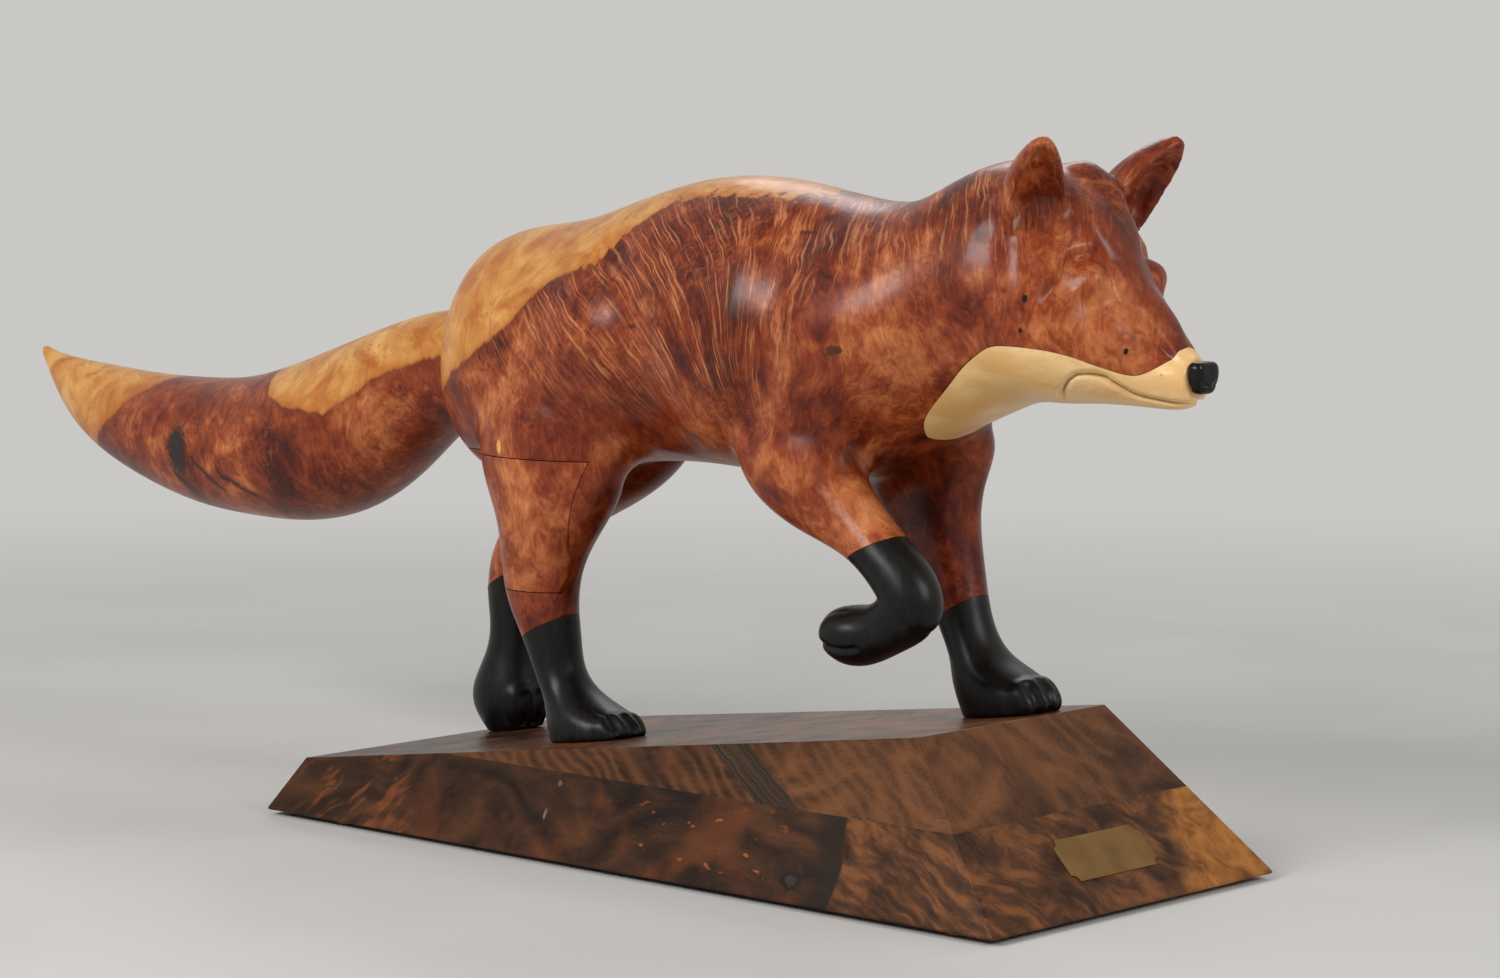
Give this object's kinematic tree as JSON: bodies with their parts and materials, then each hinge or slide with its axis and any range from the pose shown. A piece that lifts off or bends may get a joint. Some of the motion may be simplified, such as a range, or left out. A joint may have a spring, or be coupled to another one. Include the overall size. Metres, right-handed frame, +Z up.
{
  "type": "fox figurine",
  "caption": "Carved wooden figure of a walking fox with a lifted paw, joined tail, pale throat and black paws, bolted to a layered wedge-shaped base with a bare brass plate and brass feet.",
  "frame": {"origin": "on the standing plane under the brass feet, below the middle of the whole length and width", "axes": "+X is the way the fox faces, +Y is its left side, +Z is up"},
  "size_m": [1.3199, 0.3282, 0.5503],
  "materials": {
    "burl": "polished red-brown burl with a honey-coloured sapwood edge",
    "pale_wood": "satin cream-coloured wood",
    "black_wood": "satin black wood",
    "black_nose": "polished black wood",
    "dowel_wood": "plain turned wood",
    "walnut_slab": "oiled dark walnut with burl figure",
    "walnut_wedge": "oiled walnut with ripple figure",
    "brass": "dull satin",
    "steel": "plain zinc-plated"
  },
  "bodies": {
    "root": {"body": "burl", "throat": "pale_wood", "nose": "black_nose", "nose_peg": "dowel_wood", "tail": "burl", "tail_dowel": "dowel_wood", "hind_leg_inlay": "burl", "paw_right_hind": "black_wood", "paw_left_hind": "black_wood", "paw_left_fore": "black_wood", "paw_right_fore": "black_wood", "wrist_dowel": "dowel_wood", "stud_right_hind": "steel", "stud_left_hind": "steel", "stud_left_fore": "steel", "base_washers": "steel", "base_nuts": "steel", "base_slab": "walnut_slab", "base_wedge": "walnut_wedge", "name_plate": "brass", "foot_front_right": "brass", "foot_front_left": "brass", "foot_rear_right": "brass", "foot_rear_left": "brass"}
  },
  "joints": []
}
